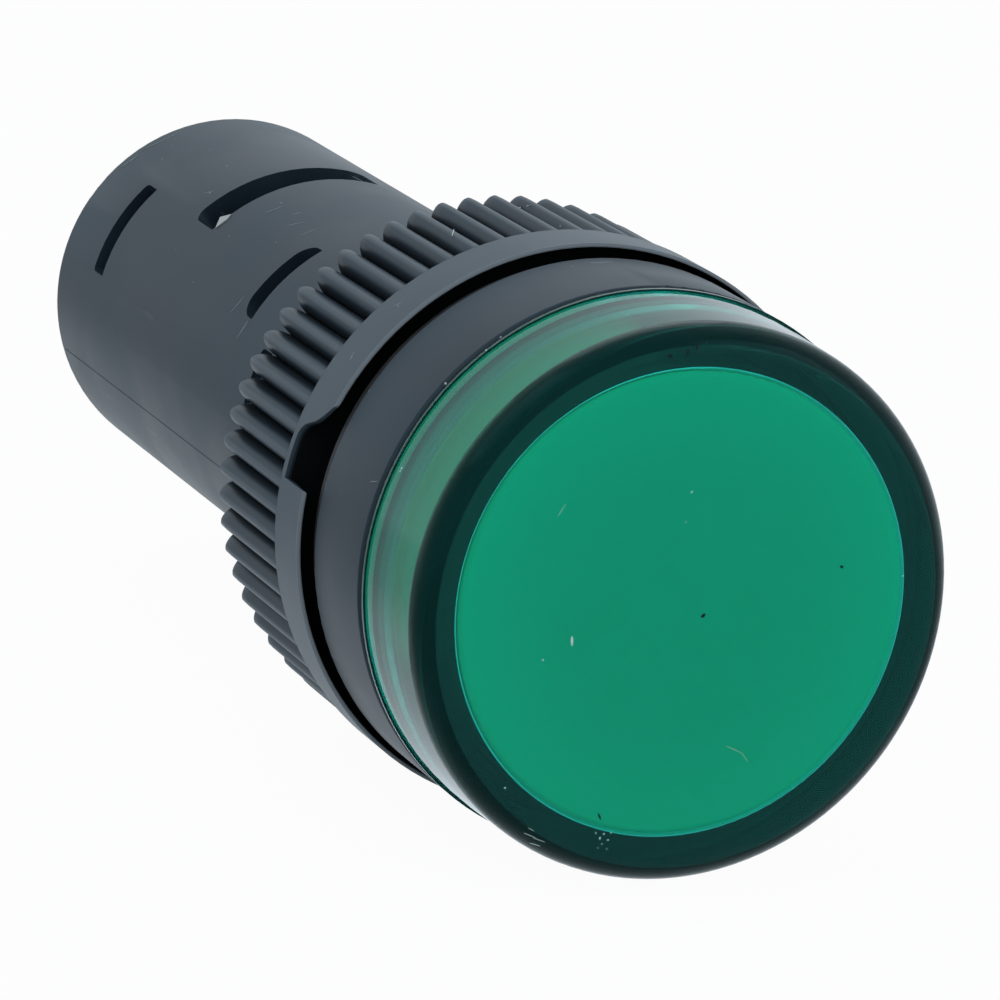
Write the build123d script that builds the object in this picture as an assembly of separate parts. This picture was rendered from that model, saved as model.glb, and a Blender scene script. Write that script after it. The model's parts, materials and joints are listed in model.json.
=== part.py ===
from build123d import *
import os

# Panel pilot light with a domed-edge lens, a long slotted barrel and a ribbed ring nut.
# All lengths are millimetres. Each piece is drawn with the lamp's axis upright: heights
# count from the panel's face, negative towards the lens and positive into the panel.
# An angle around the axis is a clock angle, seen from the lens, clockwise from the top.

# Overall sizes
head_overhang = 3.55
bezel_height = 6.75
lens_height = 7.6
length_behind_panel = 55.9
barrel_diameter = 20.8
barrel_wall = 1.3
thread_height = 0.55
thread_length = 18.0

# Clearances shared by the fits
slide_clearance = 0.1
snug_clearance = 0.05
cut_overrun = 1.0

# Gasket under the head
gasket_thickness = 1.0
gasket_inset = 0.4

# Head cup that takes the lens
head_wall = 1.5
cup_depth = 4.2
lens_gap = 0.25
head_edge_radius = 0.3
snap_groove_depth = 0.3
snap_groove_width = 0.8
snap_groove_from_rim = 1.9

# Lens cap
lens_taper = 0.3
lens_lip_height = 0.35
lens_lip_step = 0.12
lens_wall = 2.2
lens_face_thickness = 1.25
lens_edge_radius = 1.35
lens_inner_radius = 0.3
lens_skirt_wall = 0.85

# Light chamber behind the lens
diffuser_gap = 0.15
diffuser_wall = 1.0
diffuser_height = 5.0
diffuser_edge_radius = 0.4
led_board_thickness = 1.2
reflector_taper = 1.65
led_size = 2.8
led_height = 0.8
led_dome_diameter = 2.0
led_ring_share = 0.576
led_ring_count = 6

# Driver board lying along the barrel
board_thickness = 1.2
board_drop = 1.8
board_front = 1.0
board_to_screw_gap = 0.95
pin_width = 0.64
pin_length_on_board = 3.0
pin_tail = 0.5

# Parts soldered to the driver board
film_cap_length = 13.0
film_cap_width = 11.0
film_cap_height = 5.6
film_cap_edge_radius = 0.5
smoothing_cap_clearance = 0.4
smoothing_cap_length = 11.0
smoothing_cap_groove = 0.35
bridge_length = 4.7
bridge_width = 3.9
bridge_height = 2.5
bridge_lead_width = 0.65
bridge_lead_reach = 1.1
bridge_lead_thickness = 0.25
resistor_diameter = 2.4
resistor_length = 6.4
resistor_pitch = 10.2
resistor_gap = 1.4
resistor_end_radius = 0.5
resistor_count = 2
lead_diameter = 0.6

# Terminal block closing the rear of the barrel
block_recess = 0.3
block_floor_depth = 9.6
block_floor_thickness = 3.0
block_wall = 1.1
barrier_thickness = 1.6
barrier_notch_depth = 1.2
snap_bump_height = 0.8
snap_end_clearance = 2.0

# Wire terminals
contact_gap = 0.4
contact_thickness = 0.8
contact_tail_width = 2.0
contact_tail_on_board = 3.5
clamp_inset = 0.1
clamp_thickness = 1.0
clamp_lip_height = 0.6
clamp_lip_thickness = 0.9
clamp_standoff = 0.1
screw_diameter = 3.0
screw_length = 7.0
screw_head_inset = 0.1
screw_head_height = 2.0
screw_head_edge_radius = 0.7
screw_slot_width = 0.8
screw_slot_depth = 1.1
screw_tip_chamfer = 0.5
screw_hole_clearance = 0.3

# Ring nut
nut_wall = 3.9
nut_length = 13.6
nut_standoff = 0.1
nut_collar_length = 3.4
nut_collar_chamfer = 0.12
nut_skirt_wall = 0.5
nut_skirt_depth = 2.9
rib_step = 0.15
rib_count = 62
rib_phase = 2.7
rib_depth_rear = 1.4
rib_depth_front = 1.15
rib_valley_angle = 38
rib_edge_break = 0.16
rib_end_radius = 1.1
nut_bore_chamfer = 0.5
notch_from_angle = -82.5
notch_floor_angle = -74.5
notch_to_angle = -64.5

# Windows in the barrel: place along the barrel as shares of its length behind the panel,
# width, radius of the two rear corners, and the clock angles where each starts and ends
window_place_shares = (0.8775, 0.7066, 0.4714, 0.3828)
window_widths = (1.6, 3.2, 1.7, 1.5)
window_corner_radii = (0.3, 0.9, 1.2, 0.3)
window_angles = ((-77, -44), (-45, 13), (-61, -31), (-92, -66))
window_has_twin = (True, False, True, False)
barrel_end_radius = 0.6

# Sizes worked out from the ones above
barrel_radius = barrel_diameter / 2
bore_radius = barrel_radius - barrel_wall
thread_radius = barrel_radius + thread_height
head_radius = thread_radius + head_overhang
seat_height = -gasket_thickness
rim_height = seat_height - bezel_height
cup_radius = head_radius - head_wall
cup_floor = rim_height + cup_depth
lens_front = rim_height - lens_height
skirt_radius = cup_radius - slide_clearance
chamber_radius = skirt_radius - lens_skirt_wall - slide_clearance
led_board_front = cup_floor - led_board_thickness
lens_front_radius = head_radius - lens_taper
diffuser_front = lens_front + lens_face_thickness
diffuser_back = diffuser_front + diffuser_height
diffuser_radius = lens_front_radius - lens_wall - diffuser_gap
led_window_radius = diffuser_radius - diffuser_wall - reflector_taper
led_ring_radius = led_window_radius * led_ring_share
board_near = board_drop - board_thickness / 2
board_far = board_drop + board_thickness / 2
board_half_width = (bore_radius**2 - board_far**2) ** 0.5 - slide_clearance
smoothing_cap_radius = (bore_radius - board_far - smoothing_cap_clearance) / 2
block_rear = length_behind_panel - block_recess
block_radius = bore_radius - slide_clearance
terminal_floor = block_rear - block_floor_depth
block_front = terminal_floor - block_floor_thickness
contact_top = terminal_floor + contact_thickness
clamp_bottom = contact_top + clamp_standoff
clamp_top = clamp_bottom + clamp_thickness
screw_seat = clamp_top + snug_clearance
screw_tip = screw_seat - screw_length
board_end = screw_tip - board_to_screw_gap
pocket_radius = block_radius - block_wall
contact_half_length = board_far + contact_thickness
contact_inner = barrier_thickness / 2 + contact_gap
contact_outer = (pocket_radius**2 - contact_half_length**2) ** 0.5 - snug_clearance
contact_width = contact_outer - contact_inner
terminal_offset = (contact_inner + contact_outer) / 2
clamp_width = contact_width - 2 * clamp_inset
screw_head_radius = clamp_width / 2 - screw_head_inset
nut_bore = thread_radius + slide_clearance
nut_radius = nut_bore + nut_wall
rib_radius = nut_radius - rib_step
nut_rear = nut_standoff + nut_length
collar_end = nut_standoff + nut_collar_length


def turned(corners):
    # a solid of revolution from (radius, height) corners
    return revolve(Plane.XZ * make_face(Polyline(*corners, close=True)), Axis.Z)


def cylinder(radius, bottom, top, x=0, y=0):
    return Pos(x, y, (bottom + top) / 2) * Cylinder(radius, top - bottom)


def block(x_from, x_to, y_from, y_to, bottom, top):
    centre = Pos((x_from + x_to) / 2, (y_from + y_to) / 2, (bottom + top) / 2)
    return centre * Box(x_to - x_from, y_to - y_from, top - bottom)


def circles(solid, radius, height):
    # the circular edges of one radius at one height
    found = solid.edges().filter_by(GeomType.CIRCLE)
    found = found.filter_by(lambda edge: abs(edge.radius - radius) < snug_clearance)
    return found.filter_by(lambda edge: abs(edge.center().Z - height) < snug_clearance)


def ring_sector(inner, outer, bottom, top, start, end):
    # part of a ring between two clock angles
    section = make_face(Polyline((inner, bottom), (outer, bottom), (outer, top), (inner, top), close=True))
    sector = revolve(Plane.XZ * section, Axis.Z, revolution_arc=end - start)
    return Rot(Z=start - 90) * sector


def window_cut(index, inner, outer, clearance, end_clearance):
    # one barrel window with its twin on the far side, or what sits inside it
    middle = window_place_shares[index] * length_behind_panel
    half = window_widths[index] / 2 - clearance
    start = window_angles[index][0] + end_clearance
    end = window_angles[index][1] - end_clearance
    cut = ring_sector(inner, outer, middle - half, middle + half, start, end)
    rear_corners = cut.edges().filter_by(GeomType.LINE)
    rear_corners = rear_corners.filter_by(lambda edge: abs(edge.center().Z - middle - half) < snug_clearance)
    cut = fillet(rear_corners, window_corner_radii[index] - clearance)
    if window_has_twin[index]:
        cut += Rot(Z=180) * cut
    return cut


def make_housing():
    # head cup, threaded spigot and long barrel in one moulding
    groove_front = rim_height + snap_groove_from_rim
    groove_back = groove_front + snap_groove_width
    body = turned([
        (bore_radius, length_behind_panel),
        (bore_radius, cup_floor),
        (cup_radius, cup_floor),
        (cup_radius, groove_back),
        (cup_radius + snap_groove_depth, groove_back),
        (cup_radius + snap_groove_depth, groove_front),
        (cup_radius, groove_front),
        (cup_radius, rim_height),
        (head_radius, rim_height),
        (head_radius, seat_height),
        (thread_radius, seat_height),
        (thread_radius, thread_length - thread_height),
        (barrel_radius, thread_length),
        (barrel_radius, length_behind_panel),
    ])
    body = fillet(circles(body, head_radius, rim_height), head_edge_radius)
    body = fillet(circles(body, head_radius, seat_height), head_edge_radius)
    body = fillet(circles(body, barrel_radius, length_behind_panel), barrel_end_radius)
    for index in range(len(window_place_shares)):
        outer = barrel_radius + cut_overrun
        body -= window_cut(index, bore_radius - cut_overrun, outer, 0, 0)
    return body


def make_gasket():
    inner = thread_radius + snug_clearance
    outer = head_radius - gasket_inset
    return turned([
        (inner, seat_height),
        (outer, seat_height),
        (outer, 0),
        (inner, 0),
    ])


def make_lens_cap():
    # clear green cap with a rounded front edge, and a skirt that snaps into the head cup
    shoulder = rim_height - lens_gap
    lip = shoulder - lens_lip_height
    base_radius = head_radius - lens_lip_step
    inner = lens_front_radius - lens_wall
    skirt_inner = skirt_radius - lens_skirt_wall
    bead_front = rim_height + snap_groove_from_rim + slide_clearance
    bead_back = bead_front + snap_groove_width - 2 * slide_clearance
    bead_radius = cup_radius + snap_groove_depth - slide_clearance
    cap = turned([
        (0, lens_front),
        (lens_front_radius, lens_front),
        (base_radius, lip),
        (head_radius, lip),
        (head_radius, shoulder),
        (skirt_radius, shoulder),
        (skirt_radius, bead_front),
        (bead_radius, bead_front),
        (skirt_radius, bead_back),
        (skirt_radius, cup_floor),
        (skirt_inner, cup_floor),
        (skirt_inner, shoulder),
        (inner, lip - lens_gap),
        (inner, diffuser_front),
        (0, diffuser_front),
    ])
    cap = fillet(circles(cap, lens_front_radius, lens_front), lens_edge_radius)
    return fillet(circles(cap, inner, diffuser_front), lens_inner_radius)


def make_diffuser():
    # milky inner cup whose face shows as the bright disc
    inner = diffuser_radius - diffuser_wall
    cup = turned([
        (0, diffuser_front),
        (diffuser_radius, diffuser_front),
        (diffuser_radius, diffuser_back),
        (inner, diffuser_back),
        (inner, diffuser_front + diffuser_wall),
        (0, diffuser_front + diffuser_wall),
    ])
    return fillet(circles(cup, diffuser_radius, diffuser_front), diffuser_edge_radius)


def make_reflector():
    # white funnel between the lamp board and the diffuser
    mouth = diffuser_radius - diffuser_wall
    return turned([
        (led_window_radius, led_board_front),
        (chamber_radius, led_board_front),
        (chamber_radius, diffuser_back),
        (mouth, diffuser_back),
    ])


def pin_places():
    # on the board's near face, halfway between the middle lamp and the ring of lamps
    y = board_near - pin_width / 2
    return [(side * led_ring_radius / 2, y) for side in (-1, 1)]


def make_led_board():
    board = cylinder(chamber_radius, led_board_front, cup_floor)
    hole = pin_width / 2 + snug_clearance
    for x, y in pin_places():
        board -= block(x - hole, x + hole, y - hole, y + hole, led_board_front, cup_floor)
    return board


def make_led_chips():
    # one lamp in the middle and a ring of lamps around it, each with a round lens
    chips = []
    spots = [(0, 0)]
    for spot in PolarLocations(led_ring_radius, led_ring_count):
        spots.append((spot.position.X, spot.position.Y))
    half = led_size / 2
    for x, y in spots:
        top = led_board_front - led_height
        chip = block(x - half, x + half, y - half, y + half, top, led_board_front)
        dome = cylinder(led_dome_diameter / 2, top - led_height / 2, top, x, y)
        chips.append(chip + dome)
    return Compound(chips)


def make_driver_board():
    return block(-board_half_width, board_half_width, board_near, board_far, board_front, board_end)


def make_link_pins():
    pins = []
    half = pin_width / 2
    for x, y in pin_places():
        tip = led_board_front - pin_tail
        end = board_front + pin_length_on_board
        pins.append(block(x - half, x + half, y - half, y + half, tip, end))
    return Compound(pins)


def part_spacing():
    # equal gaps along the board between the parts on its near face, and after the last one
    parts = pin_length_on_board + film_cap_length + bridge_length + resistor_count * resistor_diameter
    gaps = 3 + resistor_count
    return (board_end - board_front - parts) / gaps


def film_cap_start():
    return board_front + pin_length_on_board + part_spacing()


def make_film_capacitor():
    half = film_cap_width / 2
    start = film_cap_start()
    near = board_near - film_cap_height
    box = block(-half, half, near, board_near, start, start + film_cap_length)
    top_edges = box.edges().filter_by(lambda edge: abs(edge.center().Y - near) < snug_clearance)
    return fillet(top_edges, film_cap_edge_radius)


def make_smoothing_capacitor():
    # sleeved can lying on the far side of the board, with a rolled groove near its base
    radius = smoothing_cap_radius
    groove = radius - smoothing_cap_groove
    base = smoothing_cap_length - 2 * smoothing_cap_groove
    can = turned([
        (0, 0),
        (radius - smoothing_cap_groove, 0),
        (radius, smoothing_cap_groove),
        (radius, base - 4 * smoothing_cap_groove),
        (groove, base - 3 * smoothing_cap_groove),
        (groove, base - 2 * smoothing_cap_groove),
        (radius, base - smoothing_cap_groove),
        (radius, smoothing_cap_length),
        (0, smoothing_cap_length),
    ])
    return Pos(0, board_far + radius, film_cap_start()) * can


def make_bridge():
    # rectifier with four flat leads on the board
    start = film_cap_start() + film_cap_length + part_spacing()
    half = bridge_width / 2
    top = board_near - bridge_height
    body = block(-half, half, top, board_near - bridge_lead_thickness, start, start + bridge_length)
    for side in (-1, 1):
        for place in (0, bridge_length - bridge_lead_width):
            x_in = side * (half - bridge_lead_reach)
            x_out = side * (half + bridge_lead_reach)
            low = board_near - bridge_lead_thickness
            x_from = min(x_in, x_out)
            x_to = max(x_in, x_out)
            z_from = start + place
            body += block(x_from, x_to, low, board_near, z_from, z_from + bridge_lead_width)
    return body


def make_resistor():
    # round body with both leads bent down to the board
    radius = resistor_diameter / 2
    body = Rot(Y=90) * Cylinder(radius, resistor_length)
    body = fillet(body.edges().filter_by(GeomType.CIRCLE), resistor_end_radius)
    half = resistor_pitch / 2
    lead = FilletPolyline(
        (-half, radius + resistor_gap, 0),
        (-half, 0, 0),
        (half, 0, 0),
        (half, radius + resistor_gap, 0),
        radius=lead_diameter,
    )
    section = Plane(origin=lead @ 0, z_dir=lead % 0) * Circle(lead_diameter / 2)
    return body + sweep(section, path=lead)


def make_resistors():
    # in a row behind the rectifier
    rise = resistor_diameter / 2 + resistor_gap
    start = film_cap_start() + film_cap_length + 2 * part_spacing() + bridge_length
    resistors = []
    for index in range(resistor_count):
        z = start + resistor_diameter / 2 + index * (resistor_diameter + part_spacing())
        resistors.append(Pos(0, board_near - rise, z) * make_resistor())
    return Compound(resistors)


def make_terminal_block():
    # two half-round terminal pockets on a thick floor, with a barrier between them
    body = turned([
        (0, block_front),
        (block_radius, block_front),
        (block_radius, block_rear),
        (pocket_radius, block_rear),
        (pocket_radius, terminal_floor),
        (0, terminal_floor),
    ])
    half = barrier_thickness / 2
    barrier_rear = block_rear - barrier_notch_depth
    barrier = block(-half, half, -block_radius, block_radius, block_front, barrier_rear)
    body += barrier & cylinder(block_radius, block_front, barrier_rear)
    for side in (-1, 1):
        x = side * terminal_offset
        hole = screw_diameter / 2 + screw_hole_clearance
        body -= cylinder(hole, block_front, terminal_floor, x)
        tail = contact_tail_width / 2 + snug_clearance
        near = board_far - snug_clearance
        far = board_far + contact_thickness + snug_clearance
        body -= block(x - tail, x + tail, near, far, block_front, terminal_floor)
    bumps = window_cut(0, block_radius - cut_overrun, block_radius + snap_bump_height,
                       slide_clearance, snap_end_clearance)
    keep = cylinder(block_radius + cut_overrun, block_front, block_rear)
    hollow = cylinder(pocket_radius + snug_clearance, terminal_floor, block_rear)
    return body + (bumps & keep) - (hollow & bumps)


def make_contact_plate(side):
    # plate under the clamp, with a tail through the floor that is soldered to the board
    x = side * terminal_offset
    half = contact_width / 2
    far = contact_half_length
    plate = block(x - half, x + half, -far, far, terminal_floor, contact_top)
    plate -= cylinder(screw_diameter / 2 + slide_clearance, terminal_floor, contact_top, x)
    tail_half = contact_tail_width / 2
    tail_end = board_end - contact_tail_on_board
    tail = block(x - tail_half, x + tail_half, board_far, far, tail_end, terminal_floor)
    return plate + tail


def make_saddle_clamp(side):
    # square washer with two turned-down lips that hold the wire ends
    x = side * terminal_offset
    half = clamp_width / 2
    plate = block(x - half, x + half, -half, half, clamp_bottom, clamp_top)
    for edge in (-1, 1):
        outer = edge * half
        inner = edge * (half - clamp_lip_thickness)
        y_from = min(outer, inner)
        y_to = max(outer, inner)
        plate += block(x - half, x + half, y_from, y_to, clamp_top, clamp_top + clamp_lip_height)
    plate -= cylinder(screw_diameter / 2 + slide_clearance, clamp_bottom, clamp_top, x)
    head_room = screw_head_radius + slide_clearance
    return plate - cylinder(head_room, clamp_top, clamp_top + clamp_lip_height, x)


def make_terminal_screw(side):
    # pan head with a straight slot
    radius = screw_diameter / 2
    head = screw_head_radius
    top = screw_seat + screw_head_height
    screw = turned([
        (0, screw_tip),
        (radius - screw_tip_chamfer, screw_tip),
        (radius, screw_tip + screw_tip_chamfer),
        (radius, screw_seat),
        (head, screw_seat),
        (head, top),
        (0, top),
    ])
    screw = fillet(circles(screw, head, top), screw_head_edge_radius)
    half = screw_slot_width / 2
    screw -= block(-half, half, -head, head, top - screw_slot_depth, top)
    return Pos(side * terminal_offset, 0, 0) * screw


def rib_valley():
    # one V groove with broken edges, whose root climbs a little towards the collar
    rear_face = valley_face(rib_radius - rib_depth_rear, nut_rear)
    front_face = valley_face(rib_radius - rib_depth_front, collar_end)
    return loft([front_face, rear_face], ruled=True)


def valley_face(root, height):
    flank = Vector(1, 0).rotate(Axis.Z, rib_valley_angle / 2)
    shoulder = rib_radius - rib_edge_break
    half = (shoulder - root) * flank.Y / flank.X
    top = rib_radius + cut_overrun
    wide = half + top - shoulder
    corners = [(root, 0), (shoulder, half), (top, wide), (top, -wide), (shoulder, -half)]
    return Plane(origin=(0, 0, height)) * make_face(Polyline(*corners, close=True))


def collar_notch():
    # square at its lower end, with a curved ramp at its upper end
    middle = (notch_from_angle + notch_to_angle) / 2
    per_degree = nut_radius * (Vector(1, 0).rotate(Axis.Z, 1).Y)
    low = (notch_from_angle - middle) * per_degree
    floor_end = (notch_floor_angle - middle) * per_degree
    high = (notch_to_angle - middle) * per_degree
    front = nut_standoff - cut_overrun
    floor = nut_standoff + nut_skirt_depth
    ramp = Spline(
        (floor_end, floor),
        ((floor_end + high) / 2, nut_standoff + nut_skirt_depth / 2),
        (high, nut_standoff),
        tangents=((1, 0), (1, -1)),
    )
    edges = [
        Line((low, front), (low, floor)),
        Line((low, floor), (floor_end, floor)),
        ramp,
        Line((high, nut_standoff), (high, front)),
        Line((high, front), (low, front)),
    ]
    outline = make_face(edges)
    sideways = Plane(origin=(0, 0, 0), x_dir=(0, 1, 0), z_dir=(1, 0, 0))
    tool = extrude(sideways * outline, nut_radius + cut_overrun)
    return Rot(Z=middle - 90) * tool


def make_ring_nut():
    # smooth collar with a hollow front, and ribs behind it
    skirt_inner = nut_radius - nut_skirt_wall
    skirt_end = nut_standoff + nut_skirt_depth
    body = turned([
        (skirt_inner, nut_standoff),
        (nut_radius - nut_collar_chamfer, nut_standoff),
        (nut_radius, nut_standoff + nut_collar_chamfer),
        (nut_radius, collar_end),
        (rib_radius, collar_end),
        (rib_radius, nut_rear),
        (nut_bore + nut_bore_chamfer, nut_rear),
        (nut_bore, nut_rear - nut_bore_chamfer),
        (nut_bore, skirt_end),
        (skirt_inner, skirt_end),
    ])
    body = fillet(circles(body, rib_radius, nut_rear), rib_end_radius)
    valley = rib_valley()
    body -= [spot * valley for spot in PolarLocations(0, rib_count, start_angle=rib_phase)]
    return body - collar_notch()


def lay_down(shape):
    # turns the upright drawing so that the lens faces -Y and the barrel runs along +Y
    return Rot(X=-90) * shape


os.makedirs("parts", exist_ok=True)
pieces = {
    "housing": make_housing(),
    "panel_gasket": make_gasket(),
    "lens_cap": make_lens_cap(),
    "diffuser": make_diffuser(),
    "reflector": make_reflector(),
    "led_board": make_led_board(),
    "led_chips": make_led_chips(),
    "driver_board": make_driver_board(),
    "link_pins": make_link_pins(),
    "film_capacitor": make_film_capacitor(),
    "smoothing_capacitor": make_smoothing_capacitor(),
    "bridge_rectifier": make_bridge(),
    "resistors": make_resistors(),
    "terminal_block": make_terminal_block(),
    "ring_nut": make_ring_nut(),
}
for name, side in (("left", -1), ("right", 1)):
    pieces["contact_plate_" + name] = make_contact_plate(side)
    pieces["saddle_clamp_" + name] = make_saddle_clamp(side)
    pieces["terminal_screw_" + name] = make_terminal_screw(side)

for name, shape in pieces.items():
    export_step(lay_down(shape), "parts/" + name + ".step")
    print(name, "written")
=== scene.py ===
import json
import math
import random
import bmesh
import bpy
from mathutils import Matrix, Vector
from mathutils.bvhtree import BVHTree


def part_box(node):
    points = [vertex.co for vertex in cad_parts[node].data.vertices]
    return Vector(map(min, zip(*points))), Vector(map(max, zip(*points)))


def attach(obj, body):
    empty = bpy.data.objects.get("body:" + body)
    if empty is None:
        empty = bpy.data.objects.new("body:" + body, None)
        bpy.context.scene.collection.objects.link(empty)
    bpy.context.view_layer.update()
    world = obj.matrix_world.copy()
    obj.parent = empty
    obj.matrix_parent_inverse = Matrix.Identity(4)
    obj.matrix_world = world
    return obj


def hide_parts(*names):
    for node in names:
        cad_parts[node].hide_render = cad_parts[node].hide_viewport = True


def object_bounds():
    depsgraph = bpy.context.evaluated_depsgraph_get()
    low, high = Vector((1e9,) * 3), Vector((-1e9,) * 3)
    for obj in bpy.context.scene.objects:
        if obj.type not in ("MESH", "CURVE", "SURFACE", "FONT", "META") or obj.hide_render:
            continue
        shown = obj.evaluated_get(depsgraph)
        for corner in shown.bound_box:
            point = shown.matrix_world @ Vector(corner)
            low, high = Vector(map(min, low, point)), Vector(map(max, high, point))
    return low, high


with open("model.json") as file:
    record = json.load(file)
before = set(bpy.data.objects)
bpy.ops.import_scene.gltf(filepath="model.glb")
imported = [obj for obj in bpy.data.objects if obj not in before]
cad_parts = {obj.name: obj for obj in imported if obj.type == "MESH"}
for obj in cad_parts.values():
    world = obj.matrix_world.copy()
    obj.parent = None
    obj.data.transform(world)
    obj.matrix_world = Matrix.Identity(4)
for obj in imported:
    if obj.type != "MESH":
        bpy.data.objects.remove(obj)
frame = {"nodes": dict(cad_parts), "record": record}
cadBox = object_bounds()
mm = 0.001
weld = 0.001 * mm
nutFront, nutRear = (corner[1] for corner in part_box("ring_nut"))
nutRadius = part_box("ring_nut")[1][0]
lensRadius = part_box("lens_cap")[1][0]
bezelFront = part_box("housing")[0][1]
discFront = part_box("diffuser")[0][1]
print("frame loaded")


def feed(tree, socket, value):
    # a link where the value is an output, and otherwise a plain setting
    if isinstance(value, bpy.types.NodeSocket):
        tree.links.new(value, socket)
    else:
        socket.default_value = value


def addNode(tree, kind, inputs=None, **settings):
    node = tree.nodes.new(kind)
    for key, value in settings.items():
        setattr(node, key, value)
    for key, value in (inputs or {}).items():
        feed(tree, node.inputs[key], value)
    return node


def mathNode(tree, operation, first, second):
    return addNode(tree, "ShaderNodeMath", {0: first, 1: second}, operation=operation).outputs[0]


def above(tree, value, limit):
    return mathNode(tree, "GREATER_THAN", value, limit)


def below(tree, value, limit):
    return mathNode(tree, "LESS_THAN", value, limit)


def both(tree, first, second):
    return mathNode(tree, "MULTIPLY", first, second)


def largest(tree, first, second):
    return mathNode(tree, "MAXIMUM", first, second)


def ramp(tree, value, low, high, toLow=0.0, toHigh=1.0):
    node = addNode(tree, "ShaderNodeMapRange",
                   {"Value": value, "From Min": low, "From Max": high, "To Min": toLow, "To Max": toHigh},
                   interpolation_type="SMOOTHSTEP")
    return node.outputs["Result"]


def mixColour(tree, factor, first, second):
    # sockets 6, 7 and output 2 are the colour ones
    return addNode(tree, "ShaderNodeMix", {0: factor, 6: first, 7: second}, data_type="RGBA").outputs[2]


def mixShaders(tree, factor, first, second):
    return addNode(tree, "ShaderNodeMixShader", {0: factor, 1: first, 2: second}).outputs[0]


def noise(tree, vector, scale, detail):
    node = addNode(tree, "ShaderNodeTexNoise", {"Vector": vector, "Scale": scale, "Detail": detail})
    return node.outputs["Fac"]


def newGroup(name, inputs, outputs):
    tree = bpy.data.node_groups.new(name, "ShaderNodeTree")
    for label, kind, value in inputs:
        socket = tree.interface.new_socket(label, in_out="INPUT", socket_type="NodeSocket" + kind)
        if value is not None:
            socket.default_value = value
    for label in outputs:
        tree.interface.new_socket(label, in_out="OUTPUT", socket_type="NodeSocketFloat")
    return tree, addNode(tree, "NodeGroupInput").outputs, addNode(tree, "NodeGroupOutput").inputs


skin = {
    "cloud scale": 120.0,
    "cloud detail": 3.0,
    "cloud range": (0.3, 0.7),
    "grain scale": 3500.0,
    "grain detail": 2.0,
    "grain depth": 0.02 * mm,
}


def mouldedSkinGroup():
    # cloudy tone and fine grain of moulded plastic
    tree, given, result = newGroup(
        "mouldedSkin", [("Vector", "Vector", None), ("Cloud Scale", "Float", skin["cloud scale"])],
        ["Cloud", "Grain"])
    cloud = noise(tree, given["Vector"], given["Cloud Scale"], skin["cloud detail"])
    feed(tree, result["Cloud"], ramp(tree, cloud, *skin["cloud range"]))
    feed(tree, result["Grain"], noise(tree, given["Vector"], skin["grain scale"], skin["grain detail"]))
    return tree


hairs = {
    "scale": 1.0,
    "detail": 4.0,
    "range": (0.64, 0.72),
    "patch scale": 160.0,
    "patch detail": 2.0,
    "patch range": (0.52, 0.68),
}


def scuffGroup():
    # short pale hairlines that lie roughly one way, in patches
    tree, given, result = newGroup(
        "scuffs", [("Vector", "Vector", None), ("Stretch", "Vector", None), ("Amount", "Float", None)],
        ["Mask"])
    stretched = addNode(tree, "ShaderNodeVectorMath", {0: given["Vector"], 1: given["Stretch"]},
                        operation="MULTIPLY")
    line = ramp(tree, noise(tree, stretched.outputs[0], hairs["scale"], hairs["detail"]), *hairs["range"])
    patch = ramp(tree, noise(tree, given["Vector"], hairs["patch scale"], hairs["patch detail"]),
                 *hairs["patch range"])
    feed(tree, result["Mask"], both(tree, both(tree, line, patch), given["Amount"]))
    return tree


mouldedSkin = mouldedSkinGroup()
scuffs = scuffGroup()


def newMaterial(name):
    # a material with its tree, its shader and the place on the object
    material = bpy.data.materials.new(name)
    material.use_nodes = True
    tree = material.node_tree
    place = addNode(tree, "ShaderNodeTexCoord").outputs["Object"]
    return material, tree, tree.nodes["Principled BSDF"], place


def useGroup(tree, group, inputs):
    return addNode(tree, "ShaderNodeGroup", inputs, node_tree=group).outputs


def addBump(tree, shader, height, strength):
    bump = addNode(tree, "ShaderNodeBump",
                   {"Height": height, "Strength": strength, "Distance": skin["grain depth"]})
    feed(tree, shader.inputs["Normal"], bump.outputs["Normal"])


def axesOf(tree, place):
    return addNode(tree, "ShaderNodeSeparateXYZ", {"Vector": place}).outputs


def flatLength(tree, first, second):
    flat = addNode(tree, "ShaderNodeCombineXYZ", {"X": first, "Y": second})
    return addNode(tree, "ShaderNodeVectorMath", {0: flat.outputs[0]}, operation="LENGTH").outputs["Value"]


def axisDistance(tree, axes):
    # distance from the lamp's axis
    return flatLength(tree, axes["X"], axes["Z"])


def colour(red, green, blue):
    return (red, green, blue, 1.0)


white = colour(1.0, 1.0, 1.0)

barrelLook = {
    "dark": colour(0.012, 0.021, 0.031),
    "light": colour(0.019, 0.033, 0.047),
    "scuff": colour(0.12, 0.14, 0.16),
    "roughness": (0.37, 0.43),
    "grain": 0.06,
    "gloss": 0.20,
    "sheen": colour(0.70, 0.90, 1.0),
    "stretch": (900.0, 90.0, 900.0),
    "scuffs": 0.5,
}
nutLook = {**barrelLook, "stretch": (90.0, 900.0, 90.0), "scuffs": 0.4}


def mouldedPlastic(name, settings):
    material, tree, shader, place = newMaterial(name)
    clouds = useGroup(tree, mouldedSkin, {"Vector": place})
    lines = useGroup(tree, scuffs, {"Vector": place, "Stretch": settings["stretch"],
                                    "Amount": settings["scuffs"]})
    tone = mixColour(tree, clouds["Cloud"], settings["dark"], settings["light"])
    tone = mixColour(tree, lines["Mask"], tone, settings["scuff"])
    feed(tree, shader.inputs["Base Color"], tone)
    feed(tree, shader.inputs["Roughness"], ramp(tree, clouds["Cloud"], 0.0, 1.0, *settings["roughness"]))
    feed(tree, shader.inputs["Specular IOR Level"], settings["gloss"])
    feed(tree, shader.inputs["Specular Tint"], settings["sheen"])
    addBump(tree, shader, clouds["Grain"], settings["grain"])
    return material


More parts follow.
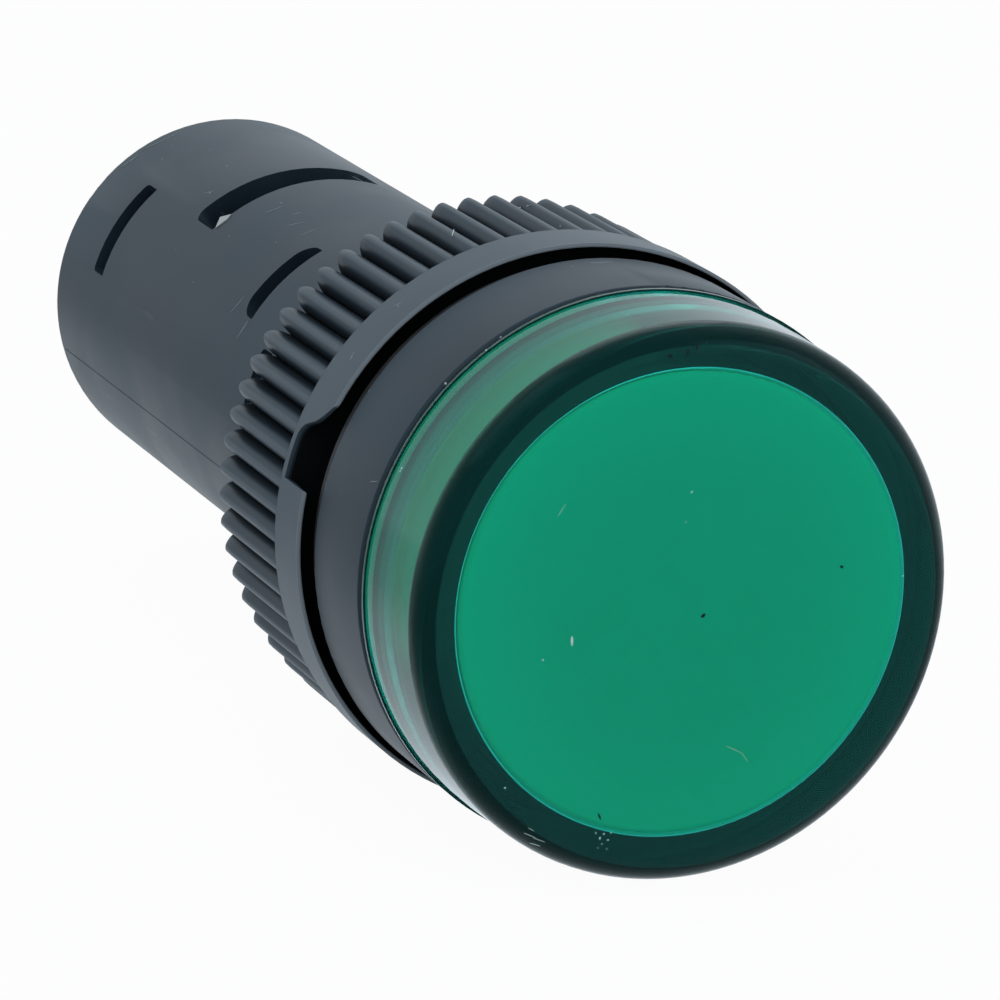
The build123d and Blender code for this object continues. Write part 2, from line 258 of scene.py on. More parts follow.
lens = {
    "tint": colour(0.14, 0.86, 0.74),
    "joint shadow": colour(0.0, 0.002, 0.002),
    "joint from": bezelFront - 0.4 * mm,
    "joint radius": lensRadius - 0.45 * mm,
    "joint roughness": 0.7,
    # painted shade: a much darker tint on the front corner of the lens
    "corner painted shade": colour(0.05, 0.26, 0.25),
    "corner radius": lensRadius - 1.2 * mm,
    "corner front": discFront + 0.15 * mm,
    "bore tint": colour(0.10, 0.78, 0.52),
    "bore radius": lensRadius - 1.45 * mm,
    "bore front": discFront + 0.02 * mm,
    "bore roughness": 0.03,
    "roughness": (0.02, 0.04),
    "cloud scale": 420.0,
    "clearness": 0.95,
    "bending": 1.43,
    "sheen": colour(0.04, 0.20, 0.20),
    "shadow tint": colour(0.93, 0.98, 0.97),
    "absorbed": colour(0.25, 0.765, 0.750),
    "density": 850.0,
}


def clearGreen():
    # clear plastic for the eye, and a tinted filter for the light that falls through it
    material, tree, shader, place = newMaterial("clearGreenLens")
    feed(tree, shader.inputs["Transmission Weight"], lens["clearness"])
    feed(tree, shader.inputs["IOR"], lens["bending"])
    feed(tree, shader.inputs["Specular Tint"], lens["sheen"])
    axes = axesOf(tree, place)
    radius = axisDistance(tree, axes)
    joint = both(tree, above(tree, axes["Y"], lens["joint from"]), above(tree, radius, lens["joint radius"]))
    # the front corner mask carries a painted shade
    corner = both(tree, above(tree, radius, lens["corner radius"]),
                  below(tree, axes["Y"], lens["corner front"]))
    bore = both(tree, below(tree, radius, lens["bore radius"]), above(tree, axes["Y"], lens["bore front"]))
    tone = lens["tint"]
    for mask, name in ((corner, "corner painted shade"), (bore, "bore tint"), (joint, "joint shadow")):
        tone = mixColour(tree, mask, tone, lens[name])
    feed(tree, shader.inputs["Base Color"], tone)
    clouds = useGroup(tree, mouldedSkin, {"Vector": place, "Cloud Scale": lens["cloud scale"]})
    rough = ramp(tree, clouds["Cloud"], 0.0, 1.0, *lens["roughness"])
    for mask, name in ((bore, "bore roughness"), (joint, "joint roughness")):
        rough = mathNode(tree, "ADD", rough, mathNode(tree, "MULTIPLY", mask, lens[name]))
    feed(tree, shader.inputs["Roughness"], rough)
    path = addNode(tree, "ShaderNodeLightPath").outputs
    passing = largest(tree, path["Is Shadow Ray"], path["Is Diffuse Ray"])
    tinted = addNode(tree, "ShaderNodeBsdfTransparent", {"Color": lens["shadow tint"]})
    surface = mixShaders(tree, passing, shader.outputs["BSDF"], tinted.outputs["BSDF"])
    absorbing = addNode(tree, "ShaderNodeVolumeAbsorption",
                        {"Color": lens["absorbed"], "Density": lens["density"]})
    output = tree.nodes["Material Output"]
    feed(tree, output.inputs["Surface"], surface)
    feed(tree, output.inputs["Volume"], absorbing.outputs["Volume"])
    return material


disc = {
    "dark": colour(0.008, 0.78, 0.45),
    "light": colour(0.010, 0.80, 0.465),
    # painted light: the brighter tone towards the disc's edge
    "edge": colour(0.010, 0.92, 0.53),
    "edge range": (5.0 * mm, 12.5 * mm),
    "cloud scale": 420.0,
    "roughness": 0.45,
    "set back": 0.02 * mm,
}


def milkyGreen():
    # painted light: a little brighter towards the edge of the disc
    material, tree, shader, place = newMaterial("milkyGreenDiffuser")
    clouds = useGroup(tree, mouldedSkin, {"Vector": place, "Cloud Scale": disc["cloud scale"]})
    tone = mixColour(tree, clouds["Cloud"], disc["dark"], disc["light"])
    edge = ramp(tree, axisDistance(tree, axesOf(tree, place)), *disc["edge range"])
    feed(tree, shader.inputs["Base Color"], mixColour(tree, edge, tone, disc["edge"]))
    feed(tree, shader.inputs["Roughness"], disc["roughness"])
    return material


plain = {"variation": 0.12, "grain": 0.05, "cloud scale": 300.0, "roughness shares": (0.85, 1.15)}


def plainFinish(name, tone, roughness, metallic=0.0, variation=plain["variation"]):
    # one finish with a cloudy tone and a fine grain
    material, tree, shader, place = newMaterial(name)
    clouds = useGroup(tree, mouldedSkin, {"Vector": place, "Cloud Scale": plain["cloud scale"]})
    dark = colour(*(channel * (1 - variation) for channel in tone[:3]))
    light = colour(*(min(1.0, channel * (1 + variation)) for channel in tone[:3]))
    low, high = (roughness * share for share in plain["roughness shares"])
    feed(tree, shader.inputs["Base Color"], mixColour(tree, clouds["Cloud"], dark, light))
    feed(tree, shader.inputs["Roughness"], ramp(tree, clouds["Cloud"], 0.0, 1.0, low, high))
    feed(tree, shader.inputs["Metallic"], metallic)
    addBump(tree, shader, clouds["Grain"], plain["grain"])
    return material


finishes = {
    "black_plastic": mouldedPlastic("barrelPlastic", barrelLook),
    "nut_plastic": mouldedPlastic("nutPlastic", nutLook),
    "black_rubber": plainFinish("gasketRubber", colour(0.006, 0.006, 0.007), 0.7),
    "green_lens": clearGreen(),
    "green_diffuser": milkyGreen(),
    "white_plastic": plainFinish("whitePlastic", colour(0.78, 0.79, 0.77), 0.5, variation=0.04),
    "circuit_board": plainFinish("boardLaminate", colour(0.03, 0.16, 0.06), 0.35),
    "lamp_resin": plainFinish("lampResin", colour(0.75, 0.70, 0.30), 0.25),
    "tinned_brass": plainFinish("tinnedBrass", colour(0.72, 0.72, 0.70), 0.3, 1.0),
    "capacitor_case": plainFinish("filmCase", colour(0.50, 0.10, 0.03), 0.3),
    "capacitor_sleeve": plainFinish("shrunkSleeve", colour(0.02, 0.03, 0.06), 0.3),
    "black_resin": plainFinish("blackResin", colour(0.03, 0.03, 0.03), 0.5),
    "resistor_coat": plainFinish("resistorCoat", colour(0.45, 0.35, 0.22), 0.35),
    "contact_brass": plainFinish("contactBrass", colour(0.72, 0.55, 0.25), 0.32, 1.0),
    "plated_steel": plainFinish("platedSteel", colour(0.60, 0.60, 0.62), 0.28, 1.0),
}
for part in frame["record"]["subparts"]:
    node = frame["nodes"][part["node"]]
    for slot in node.material_slots:
        slot.material = finishes[part["material_slot"]]
# the diffuser's face touches the lens, and faces that touch render blotchy
seating = frame["nodes"]["diffuser"].modifiers.new("seating", "DISPLACE")
seating.mid_level = 0.0
seating.strength = -disc["set back"]
print("materials on the pieces")

studio = {
    "fill": 0.55,  # what lights the lamp
    "seen": 1.0,  # what the camera and reflections see
    "reflected": colour(0.84, 0.93, 1.0),
}
floorSettings = {
    "half size": 1.5,
    "colour": colour(0.86, 0.86, 0.86),
    "roughness": 1.0,
    "gloss": 0.0,
    "backdrop share": 0.96,
    "dim": 0.68,  # strength in reflections, in an oval ring around the lamp
    "ring centre": 25.0 * mm,
    "ring squeeze": 0.35,
    "ring inner": (24.0 * mm, 42.0 * mm),
    "ring outer": (80.0 * mm, 200.0 * mm),
}


def seenShare(tree):
    # one for rays from the camera or through a clear piece, and one for these and reflections
    path = addNode(tree, "ShaderNodeLightPath").outputs
    direct = largest(tree, path["Is Camera Ray"], path["Is Transmission Ray"])
    return direct, largest(tree, direct, path["Is Glossy Ray"])


def floorDimming(tree, place):
    # 1 under the lamp and far off, and dimmer in an oval ring between them
    axes = axesOf(tree, place)
    along = mathNode(tree, "SUBTRACT", axes["Y"], floorSettings["ring centre"])
    along = mathNode(tree, "MULTIPLY", along, floorSettings["ring squeeze"])
    reach = flatLength(tree, axes["X"], along)
    under = ramp(tree, reach, *floorSettings["ring inner"], 1.0, floorSettings["dim"])
    far = ramp(tree, reach, *floorSettings["ring outer"], floorSettings["dim"], 1.0)
    return largest(tree, under, far)


def floorMaterial():
    # plain for the light, an even backdrop for the eye, dimmer in reflections, and clear from below
    material, tree, shader, place = newMaterial("paleFloor")
    feed(tree, shader.inputs["Base Color"], floorSettings["colour"])
    feed(tree, shader.inputs["Roughness"], floorSettings["roughness"])
    feed(tree, shader.inputs["Specular IOR Level"], floorSettings["gloss"])
    direct, seen = seenShare(tree)
    glow = addNode(tree, "ShaderNodeEmission",
                   {"Color": mixColour(tree, direct, studio["reflected"], white),
                    "Strength": largest(tree, direct, floorDimming(tree, place))})
    share = both(tree, seen, floorSettings["backdrop share"])
    lit = mixShaders(tree, share, shader.outputs["BSDF"], glow.outputs["Emission"])
    fromBelow = addNode(tree, "ShaderNodeNewGeometry").outputs["Backfacing"]
    clear = addNode(tree, "ShaderNodeBsdfTransparent").outputs["BSDF"]
    feed(tree, tree.nodes["Material Output"].inputs["Surface"], mixShaders(tree, fromBelow, lit, clear))
    return material


def makeFloor():
    form = bmesh.new()
    bmesh.ops.create_grid(form, x_segments=1, y_segments=1, size=floorSettings["half size"])
    bmesh.ops.translate(form, verts=form.verts, vec=(0, 0, cadBox[0].z))
    mesh = bpy.data.meshes.new("floor")
    form.to_mesh(mesh)
    form.free()
    mesh.materials.append(floorMaterial())
    floor = bpy.data.objects.new("floor", mesh)
    bpy.context.scene.collection.objects.link(floor)


def makeWorld():
    world = bpy.data.worlds.new("studio")
    bpy.context.scene.world = world
    world.use_nodes = True
    tree = world.node_tree
    back = tree.nodes["Background"].inputs
    direct, seen = seenShare(tree)
    feed(tree, back["Color"], mixColour(tree, direct, studio["reflected"], white))
    feed(tree, back["Strength"], ramp(tree, seen, 0.0, 1.0, studio["fill"], studio["seen"]))


lampTone = (0.94, 0.98, 1.0)
lamps = {
    "keyLeft": {"place": (-0.45, -0.10, 0.55), "size": 0.5, "power": 1.0},
    "frontRight": {"place": (0.45, -0.55, 0.30), "size": 0.4, "power": 0.9},
    "topBack": {"place": (0.10, 0.50, 0.60), "size": 0.5, "power": 0.45},
}


def makeLamps():
    # square lamps that face the origin
    for name, settings in lamps.items():
        data = bpy.data.lights.new(name, "AREA")
        data.shape = "SQUARE"
        data.size = settings["size"]
        data.energy = settings["power"]
        data.color = lampTone
        lamp = bpy.data.objects.new(name, data)
        place = Vector(settings["place"])
        turn = (-place).to_track_quat("-Z", "Y").to_matrix().to_4x4()
        lamp.matrix_world = Matrix.Translation(place) @ turn
        bpy.context.scene.collection.objects.link(lamp)


view = {
    "place": Vector((-119.01, -274.14, 72.93)) * mm,
    "forward": (0.37566, 0.89684, -0.23357),
    "up": (0.0, 0.25203, 0.96772),
    "focal": 216.0,
    "sensor": 36.0,
    "photo size": 1000,
    "nearest": 0.01,
    "farthest": 20.0,
}


def viewAxes():
    forward = Vector(view["forward"]).normalized()
    right = forward.cross(Vector(view["up"])).normalized()
    return right, right.cross(forward), forward


def makeCamera():
    data = bpy.data.cameras.new("photoView")
    data.sensor_width = view["sensor"]
    data.lens = view["focal"]
    data.clip_start = view["nearest"]
    data.clip_end = view["farthest"]
    camera = bpy.data.objects.new("photoView", data)
    right, up, forward = viewAxes()
    turn = Matrix((right, up, -forward)).transposed().to_4x4()
    camera.matrix_world = Matrix.Translation(view["place"]) @ turn
    bpy.context.scene.collection.objects.link(camera)
    bpy.context.scene.camera = camera


makeFloor()
makeWorld()
makeLamps()
makeCamera()
bpy.context.scene.view_settings.view_transform = "Standard"
print("floor, lights and camera set")


def photoRay(pixel):
    # the camera's ray through a pixel of the photo
    right, up, forward = viewAxes()
    reach = view["focal"] / view["sensor"] * view["photo size"]
    middle = view["photo size"] / 2
    ray = forward * reach + right * (pixel[0] - middle) + up * (middle - pixel[1])
    return view["place"], ray.normalized()


surfaces = {}


def surfaceOf(node):
    if node not in surfaces:
        form = bmesh.new()
        form.from_mesh(frame["nodes"][node].data)
        surfaces[node] = BVHTree.FromBMesh(form)
        form.free()
    return surfaces[node]


def onPiece(pixel, *nodes):
    # point and normal where the ray through a photo pixel first meets the pieces
    place, ray = photoRay(pixel)
    hits = [surfaceOf(node).ray_cast(place, ray) for node in nodes]
    hits = [hit for hit in hits if hit[0] is not None]
    if not hits:
        return None
    point, normal, face, distance = min(hits, key=lambda hit: hit[3])
    return point, normal


def radiusOf(point):
    return math.hypot(point[0], point[2])


def atRadius(point, radius):
    # the point moved straight out from the lamp's axis, or in, to a radius
    share = radius / radiusOf(point)
    return Vector((point[0] * share, point[1], point[2] * share))


def joinForm(form, added):
    # adds a finished form of its own to a copied one, with its faces turned outward
    bmesh.ops.recalc_face_normals(added, faces=added.faces)
    outward = 0.0
    for face in added.faces:
        middle = face.calc_center_median()
        outward += face.normal.dot(Vector((middle.x, 0, middle.z)))
    if outward < 0:
        bmesh.ops.reverse_faces(added, faces=added.faces)
    mesh = bpy.data.meshes.new("added")
    added.to_mesh(mesh)
    added.free()
    form.from_mesh(mesh)
    bpy.data.meshes.remove(mesh)


def copyOf(node):
    form = bmesh.new()
    form.from_mesh(frame["nodes"][node].data)
    bmesh.ops.remove_doubles(form, verts=form.verts, dist=weld)
    return form


def finishPiece(form, name, material, body, sharpAngle):
    mesh = bpy.data.meshes.new(name)
    form.to_mesh(mesh)
    form.free()
    # shading normals that came with a copied mesh no longer fit it
    if "custom_normal" in mesh.attributes:
        mesh.attributes.remove(mesh.attributes["custom_normal"])
    mesh.materials.append(material)
    mesh.shade_smooth()
    mesh.set_sharp_from_angle(angle=math.radians(sharpAngle))
    piece = bpy.data.objects.new(name, mesh)
    bpy.context.scene.collection.objects.link(piece)
    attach(piece, body)
    return piece


thread = {
    "core radius": 10.4 * mm,
    "crest radius": 10.95 * mm,
    "root radius": 10.5 * mm,
    "pitch": 1.0 * mm,
    "start": 0.25 * mm,
    "end": 17.3 * mm,
    "spigot from": -1.05 * mm,
    "profile": ((0.0, 1.0), (0.2, 1.0), (0.45, 0.0), (0.65, 0.0), (0.9, 1.0), (1.0, 1.0)),
    "steps": 96,
    "overlap": 0.02 * mm,
    "weld": 0.002 * mm,
    "sharp angle": 32,
}


def threadProfile(helix):
    # one pitch of crest, flank and root, which starts a pitch before the thread does
    depth = thread["crest radius"] - thread["root radius"]
    corners = []
    for along, rise in thread["profile"]:
        height = thread["start"] + (along - 1.0) * thread["pitch"]
        corners.append(helix.verts.new((thread["root radius"] + rise * depth, height, 0)))
    return corners + [helix.edges.new(pair) for pair in zip(corners, corners[1:])]


def makeThread():
    helix = bmesh.new()
    profile = threadProfile(helix)
    turns = math.ceil((thread["end"] - thread["start"]) / thread["pitch"]) + 1
    bmesh.ops.spin(helix, geom=profile, axis=(0, 1, 0), cent=(0, 0, 0),
                   dvec=(0, thread["pitch"] / thread["steps"], 0), angle=2 * math.pi * turns,
                   steps=turns * thread["steps"])
    bmesh.ops.remove_doubles(helix, verts=helix.verts, dist=thread["weld"])
    # both ends are cut square and closed down into the core
    for height, side in ((thread["start"], -1), (thread["end"], 1)):
        cut = bmesh.ops.bisect_plane(helix, geom=helix.verts[:] + helix.edges[:] + helix.faces[:],
                                     plane_co=(0, height, 0), plane_no=(0, side, 0), clear_outer=True)
        rim = [item for item in cut["geom_cut"] if isinstance(item, bmesh.types.BMEdge)]
        for item in bmesh.ops.extrude_edge_only(helix, edges=rim)["geom"]:
            if isinstance(item, bmesh.types.BMVert):
                item.co = atRadius(item.co, thread["core radius"] - thread["overlap"])
    return helix


def makeHousing():
    # the moulding as in the frame, its plain spigot shrunk to a core that carries a thread
    form = copyOf("housing")
    for vertex in form.verts:
        onSpigot = abs(radiusOf(vertex.co) - thread["crest radius"]) < thread["overlap"]
        if onSpigot and vertex.co.y > thread["spigot from"]:
            vertex.co = atRadius(vertex.co, thread["core radius"])
    joinForm(form, makeThread())
    piece = finishPiece(form, "threadedHousing", finishes["black_plastic"], "lamp",
                        thread["sharp angle"])
    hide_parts("housing")


makeHousing()
print("housing with its thread")

nut = {
    "ribs": 62,
    "first valley": 92.7,
    "collar end": nutFront + 3.4 * mm,
    "crest radius": nutRadius - 0.15 * mm,
    "front depth": 1.15 * mm,
    "rear depth": 1.4 * mm,
    "end radius": 1.1 * mm,
    "end steps": 7,
    "end width": 0.5,
    "end narrowing": 0.6,
    "face radius": nutRadius - 3.4 * mm,
    "keep inside": nutRadius - 2.9 * mm,
    "hollow radius": nutRadius - 0.5 * mm,
    "hollow floor": nutFront + 2.9 * mm,
    "hollow draft": 0.33 * mm,
    "tolerance": 0.03 * mm,
    "roundness": 1.8,
    "root share": 0.985,
    "across": (0.0, 0.18, 0.35, 0.50, 0.63, 0.74, 0.83, 0.90, 0.95, 0.98),
    "behind collar": (0.0, 0.4 * mm, 1.5 * mm, 3.5 * mm, 5.5 * mm, 7.5 * mm, 8.5 * mm),
    "sharp angle": 38,
}
# painted highlights and painted shade on the ribbed nut
nutPaintedLight = {
    # painted highlight: the pale thin line on the front edge of the lip
    "lipHighlight": colour(0.16, 0.18, 0.20),
    "lip until": nutFront + 0.17 * mm,
    "lip radius": nutRadius - 0.25 * mm,
    # painted highlight: the pale line along each rib's crest
    "crest": colour(0.075, 0.095, 0.115),
    "crest highlight range": (nutRadius - 0.25 * mm, nutRadius - 0.15 * mm),
    "crest highlight share": 0.75,
    # painted shade: the dark colour in the rib valleys
    "valley": colour(0.002, 0.004, 0.007),
    "valley shade range": (nutRadius - 0.95 * mm, nutRadius - 0.35 * mm),
    "valley from": nutFront + 3.45 * mm,
    "valley to": nutRear - 0.5 * mm,
    # painted shadow: the near black colour in the hollow behind the lip
    "hollow": colour(0.001, 0.001, 0.001),
    "hollow radius": nutRadius - 0.33 * mm,
    "hollow end": nutFront + 3.3 * mm,
    "roughness": 0.9,
}


def paintNutLightAndShade(material):
    # painted light on the nut: a painted highlight on the lip and the crests, painted shade in the valleys
    # and a black painted shadow in the hollow behind the lip
    tree = material.node_tree
    shader = tree.nodes["Principled BSDF"].inputs
    axes = axesOf(tree, addNode(tree, "ShaderNodeTexCoord").outputs["Object"])
    height = axes["Y"]
    radius = axisDistance(tree, axes)
    # painted highlight along the rib crests
    crest = ramp(tree, radius, *nutPaintedLight["crest highlight range"], 0.0, nutPaintedLight["crest highlight share"])
    ribbed = both(tree, above(tree, height, nutPaintedLight["valley from"]),
                  below(tree, height, nutPaintedLight["valley to"]))
    # painted shade in the rib valleys
    valley = both(tree, ribbed, ramp(tree, radius, *nutPaintedLight["valley shade range"], 1.0, 0.0))
    # painted shadow in the hollow behind the lip
    hollow = both(tree, below(tree, height, nutPaintedLight["hollow end"]),
                  below(tree, radius, nutPaintedLight["hollow radius"]))
    # painted highlight on the lip's front edge
    lipHighlight = both(tree, below(tree, height, nutPaintedLight["lip until"]), above(tree, radius, nutPaintedLight["lip radius"]))
    tone = shader["Base Color"].links[0].from_socket
    for mask, name in ((crest, "crest"), (valley, "valley"), (hollow, "hollow"), (lipHighlight, "lipHighlight")):
        tone = mixColour(tree, mask, tone, nutPaintedLight[name])
    feed(tree, shader["Base Color"], tone)
    rough = shader["Roughness"].links[0].from_socket
    dull = mathNode(tree, "MULTIPLY", largest(tree, hollow, valley), nutPaintedLight["roughness"])
    feed(tree, shader["Roughness"], largest(tree, rough, dull))


def ribRow(height, crest, root, width):
    # one ring of points over all ribs, width being a rib's share of its pitch
    sides = [-share for share in reversed(nut["across"][1:])] + list(nut["across"]) + [1.0]
    pitch = 360 / nut["ribs"]
    row = []
    for rib in range(nut["ribs"]):
        middle = nut["first valley"] + (rib + 0.5) * pitch
        for side in sides:
            share = min(1.0, abs(side) / width / nut["root share"])
            fall = 1 - (1 - share ** nut["roundness"]) ** (1 / nut["roundness"])
            angle = math.radians(middle + side * pitch / 2)
            radius = crest - (crest - root) * fall
            row.append((radius * math.sin(angle), height, radius * math.cos(angle)))
    return row


def ribRows():
    # rings from the collar's edge over the ribs and their rounded rear ends to the rear face
    rows = []
    length = nutRear - nut["collar end"]
    for distance in nut["behind collar"]:
        depth = nut["front depth"] + distance / length * (nut["rear depth"] - nut["front depth"])
        height = nut["collar end"] + distance
        rows.append(ribRow(height, nut["crest radius"], nut["crest radius"] - depth, 1.0))
    root = nut["crest radius"] - nut["rear depth"]
    for step in range(nut["end steps"]):
        turn = math.pi / 2 * (step + 1) / nut["end steps"]
        height = nutRear - nut["end radius"] * (1 - math.sin(turn))
        crest = nut["crest radius"] - nut["end radius"] * (1 - math.cos(turn))
        fullness = max(0.0, math.cos(turn)) ** nut["end narrowing"]
        rows.append(ribRow(height, crest, root, nut["end width"] + (1 - nut["end width"]) * fullness))
    edge = [atRadius(point, nutRadius) for point in rows[0]]
    face = [atRadius(point, nut["face radius"]) for point in rows[-1]]
    return [edge] + rows + [face]


def makeRibs():
    ribs = bmesh.new()
    rings = [[ribs.verts.new(point) for point in row] for row in ribRows()]
    for near, far in zip(rings, rings[1:]):
        for index in range(len(near)):
            after = (index + 1) % len(near)
            ribs.faces.new((near[index], near[after], far[after], far[index]))
    return ribs


def makeNut():
    # collar and bore as in the frame, with a drafted hollow and rounder ribs
    form = copyOf("ring_nut")
    plainRibs = [face for face in form.faces
                 if face.calc_center_median().y > nut["collar end"] - nut["tolerance"]
                 and max(radiusOf(vertex.co) for vertex in face.verts) > nut["keep inside"]]
    bmesh.ops.delete(form, geom=plainRibs, context="FACES")
    for vertex in form.verts:
        onWall = abs(radiusOf(vertex.co) - nut["hollow radius"]) < nut["tolerance"]
        if onWall and vertex.co.y < nut["hollow floor"]:
            draft = nut["hollow draft"] * (1 - vertex.co.y / nut["hollow floor"])
            vertex.co = atRadius(vertex.co, radiusOf(vertex.co) + draft)
    joinForm(form, makeRibs())
    piece = finishPiece(form, "ribbedNut", finishes["nut_plastic"], "nut", nut["sharp angle"])
    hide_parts("ring_nut")


paintNutLightAndShade(finishes["nut_plastic"])
makeNut()
print("ring nut with its ribs")

chance = random.Random(7)
marks = {
    "pale": plainFinish("paleDust", colour(0.62, 0.66, 0.65), 0.8),
    "dull": plainFinish("dullDust", colour(0.33, 0.37, 0.39), 0.7),
    "dark": plainFinish("darkSpeck", colour(0.004, 0.010, 0.010), 0.5),
    "torn": plainFinish("tornEdge", colour(0.40, 0.43, 0.43), 0.6),
}
darkGloss = 0.1
darkShader = marks["dark"].node_tree.nodes["Principled BSDF"]
darkShader.inputs["Specular IOR Level"].default_value = darkGloss
crumb = {"length": (0.8, 1.4), "width": (0.5, 0.9), "height": 0.35, "sunk": 0.2, "unevenness": 0.2}
hairline = {"rise": 0.02 * mm, "sunk": 0.01 * mm, "end share": 0.3, "steps": 8}
markSharpAngle = 30


def addGrain(form, place, size):
    # an uneven crumb that lies on the surface, size in millimetres
    point, normal = place
    turn = normal.to_track_quat("Z", "Y").to_matrix().to_4x4()
    spin = Matrix.Rotation(chance.uniform(0, math.pi), 4, "Z")
    radius = size * mm / 2
    length = radius * chance.uniform(*crumb["length"])
    width = radius * chance.uniform(*crumb["width"])
    stretch = Matrix.Diagonal((length, width, radius * crumb["height"], 1))
    point = point - normal * radius * crumb["sunk"]
    made = bmesh.ops.create_icosphere(form, subdivisions=1, radius=1.0,
                                      matrix=Matrix.Translation(point) @ turn @ spin @ stretch)
    for vertex in made["verts"]:
        vertex.co += (vertex.co - point) * chance.uniform(-crumb["unevenness"], crumb["unevenness"])


def addLine(form, places, width):
    # a raised hairline that follows the surface and narrows at both ends, width in millimetres
    rows = []
    last = len(places) - 1
    for index, (point, normal) in enumerate(places):
        along = places[min(index + 1, last)][0] - places[max(index - 1, 0)][0]
        side = normal.cross(along).normalized()
        share = hairline["end share"] + (1 - hairline["end share"]) * math.sin(math.pi * index / last)
        half = side * width * mm / 2 * share
        foot = point - normal * hairline["sunk"]
        top = point + normal * hairline["rise"]
        rows.append([form.verts.new(corner) for corner in (foot - half, top, foot + half)])
    for near, far in zip(rows, rows[1:]):
        for index in range(2):
            form.faces.new((near[index], near[index + 1], far[index + 1], far[index]))


# in photo pixels: each dot is x, y and size in mm, and each line is two ends and a width in mm
dust = {
    "barrelDust": {
        "on": ("housing",), "look": "dull", "slot": "black_plastic", "body": "lamp",
        "dots": ((173, 146, 0.16), (162, 159, 0.14), (210, 150, 0.13), (227, 166, 0.16), (210, 193, 0.18),
                 (291, 136, 0.12), (298, 213, 0.15), (281, 203, 0.20), (229, 236, 0.22), (176, 249, 0.13),
                 (276, 242, 0.15), (193, 282, 0.13)),
        "lines": (((204, 193.5), (214, 191), 0.05), ((293, 214.5), (301, 212.5), 0.05),
                  ((121.6, 167.3), (138.5, 155.1), 0.05), ((142, 150), (177.2, 133.7), 0.05),
                  ((262, 214), (284, 206), 0.04), ((300, 236), (318, 228), 0.04),
                  ((286, 226), (305, 222), 0.04), ((231, 312), (244, 297), 0.05),
                  ((248, 321), (237, 338), 0.06), ((352, 176), (364, 182), 0.05)),
    },
    "headDust": {
        "on": ("housing",), "look": "dull", "slot": "black_plastic", "body": "lamp",
        "dots": ((381, 302, 0.10), (466, 296, 0.14), (572, 266, 0.12), (369, 391, 0.14), (372, 480, 0.10)),
        "lines": (((446, 297), (455, 292), 0.05), ((590, 263), (612, 262), 0.05),
                  ((370, 482), (378, 481), 0.05)),
    },
    "gapCrumbs": {
        "on": ("housing", "lens_cap"), "look": "pale", "slot": "green_lens", "body": "lamp",
        "dots": ((401.5, 468, 0.20), (446, 384, 0.18), (486, 350, 0.16), (501, 337, 0.12),
                 (400, 471, 0.15)),
        "lines": (),
    },
    "nutDust": {
        "on": ("ring_nut",), "look": "pale", "slot": "nut_plastic", "body": "nut",
        "dots": ((396, 271, 0.30), (400, 273, 0.26), (384, 268, 0.26)),
        "lines": (((388, 266), (400, 272), 0.16), ((452, 236), (454.5, 227), 0.08),
                  ((518, 208), (531, 205), 0.08)),
    },
    "nutScuffs": {
        "on": ("ring_nut",), "look": "dull", "slot": "nut_plastic", "body": "nut",
        "dots": ((398, 306, 0.20), (352, 357, 0.12), (560, 226, 0.14)),
        "lines": (((394, 306), (403, 302), 0.06), ((350, 360), (354, 352), 0.05)),
    },
    "lensDust": {
        "on": ("lens_cap",), "look": "pale", "slot": "green_lens", "body": "lamp",
        "dots": ((692, 492, 0.22), (686, 522, 0.08), (543, 660, 0.12), (505, 788, 0.16), (903, 576, 0.10),
                 (596, 833, 0.13), (600, 838, 0.16), (604, 834, 0.14), (608, 840, 0.12), (602, 844, 0.10),
                 (611, 833, 0.10), (598, 848, 0.09), (607, 849, 0.10)),
        "lines": (((572, 636), (572, 646), 0.16), ((558, 516), (566, 504), 0.03),
                  ((726, 746), (742, 753), 0.035), ((741, 752), (748, 762), 0.03),
                  ((524, 833), (536, 838), 0.04), ((530, 843), (540, 846), 0.04),
                  ((533, 838), (545, 842), 0.03), ((528, 828), (534, 831), 0.03)),
    },
    "lensSpecks": {
        "on": ("lens_cap",), "look": "dark", "slot": "green_lens", "body": "lamp",
        "dots": ((703.5, 615.7, 0.28), (842, 566.7, 0.26), (670, 356, 0.30), (688, 352, 0.45),
                 (697, 348, 0.35), (706, 342, 0.20), (860, 784.5, 0.16)),
        "lines": (((598, 813), (601, 820), 0.10), ((614, 286), (622, 284), 0.06)),
    },
}


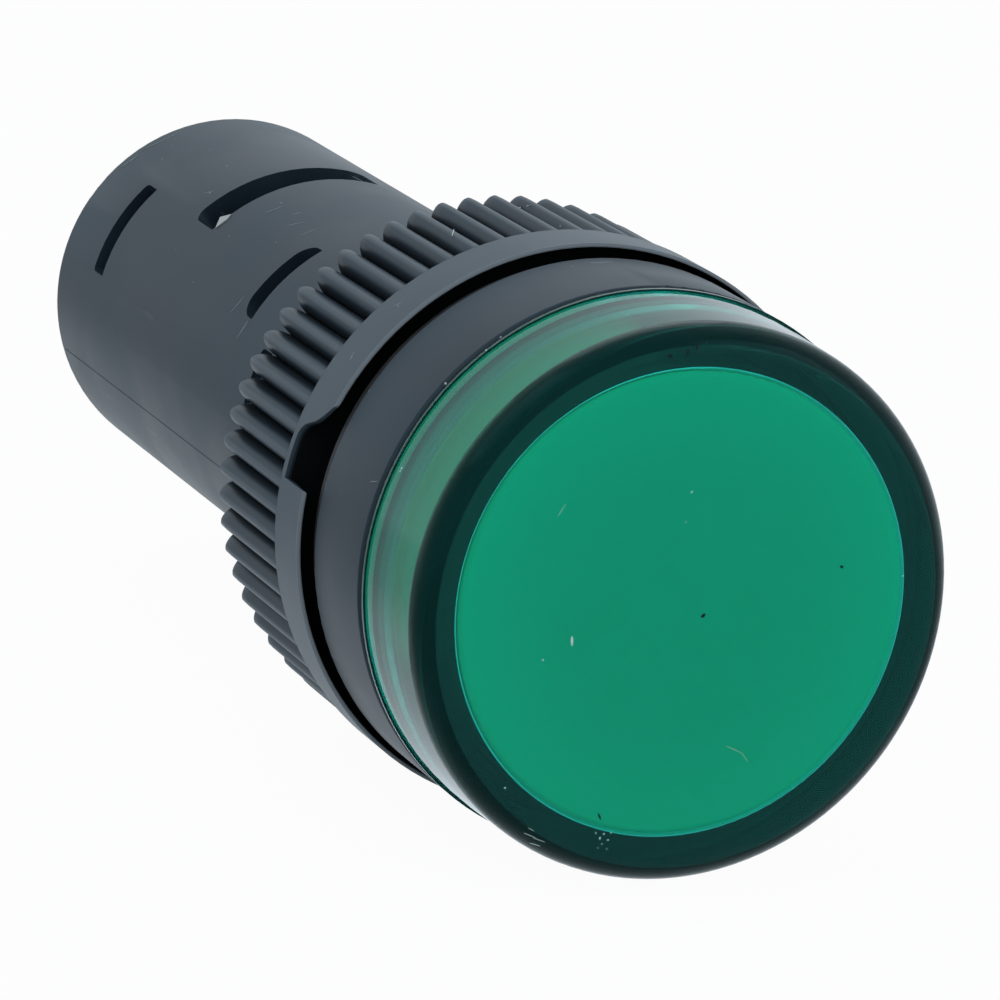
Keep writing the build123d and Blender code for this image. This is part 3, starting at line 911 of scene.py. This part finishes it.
def makeDust():
    # marks that would fall beside the piece are left out
    steps = hairline["steps"]
    for name, settings in dust.items():
        form = bmesh.new()
        for x, y, size in settings["dots"]:
            place = onPiece((x, y), *settings["on"])
            if place:
                addGrain(form, place, size)
        for start, end, width in settings["lines"]:
            pixels = [Vector(start).lerp(Vector(end), step / steps) for step in range(steps + 1)]
            places = [onPiece(pixel, *settings["on"]) for pixel in pixels]
            addLine(form, [place for place in places if place], width)
        finishPiece(form, name, marks[settings["look"]], settings["body"], markSharpAngle)


makeDust()
print("dust, scuffs and scratches")

partingLine = {
    "clocks": (-110.0, 70.0),
    "radius": thread["core radius"],
    "from": 18.6 * mm,
    "to": 55.0 * mm,
    "width": 0.07,
    "steps": 24,
}


def makePartingLines():
    # faint flash where the two halves of the mould met
    form = bmesh.new()
    start = Vector((0, partingLine["from"], 0))
    end = Vector((0, partingLine["to"], 0))
    for clock in partingLine["clocks"]:
        normal = Vector((math.sin(math.radians(clock)), 0, math.cos(math.radians(clock))))
        places = [(normal * partingLine["radius"] + start.lerp(end, step / partingLine["steps"]), normal)
                  for step in range(partingLine["steps"] + 1)]
        addLine(form, places, partingLine["width"])
    finishPiece(form, "partingLines", marks["dark"], "lamp", markSharpAngle)


burr = {
    "corner pixels": ((215.5, 227.5), (220, 217), (231, 214), (227, 219)),
    "radius": thread["core radius"] + 0.05 * mm,
    "thickness": 0.15 * mm,
    "sharp angle": 20,
}


def onCylinder(pixel, radius):
    # where the ray through a photo pixel first meets a cylinder around the lamp's axis
    place, ray = photoRay(pixel)
    flat = Vector((ray.x, ray.z))
    start = Vector((place.x, place.z))
    half = start.dot(flat)
    root = half * half - flat.length_squared * (start.length_squared - radius * radius)
    return place + ray * ((-half - math.sqrt(root)) / flat.length_squared)


def makeBurr():
    # torn flake at the left end of the second window's front edge
    form = bmesh.new()
    upper = []
    lower = []
    for pixel in burr["corner pixels"]:
        point = onCylinder(pixel, burr["radius"])
        upper.append(form.verts.new(point))
        lower.append(form.verts.new(atRadius(point, burr["radius"] - burr["thickness"])))
    form.faces.new(upper)
    form.faces.new(list(reversed(lower)))
    for index in range(len(upper)):
        after = (index + 1) % len(upper)
        form.faces.new((upper[index], lower[index], lower[after], upper[after]))
    bmesh.ops.recalc_face_normals(form, faces=form.faces)
    finishPiece(form, "windowBurr", marks["torn"], "lamp", burr["sharp angle"])


makePartingLines()
makeBurr()
print("parting lines and burr")
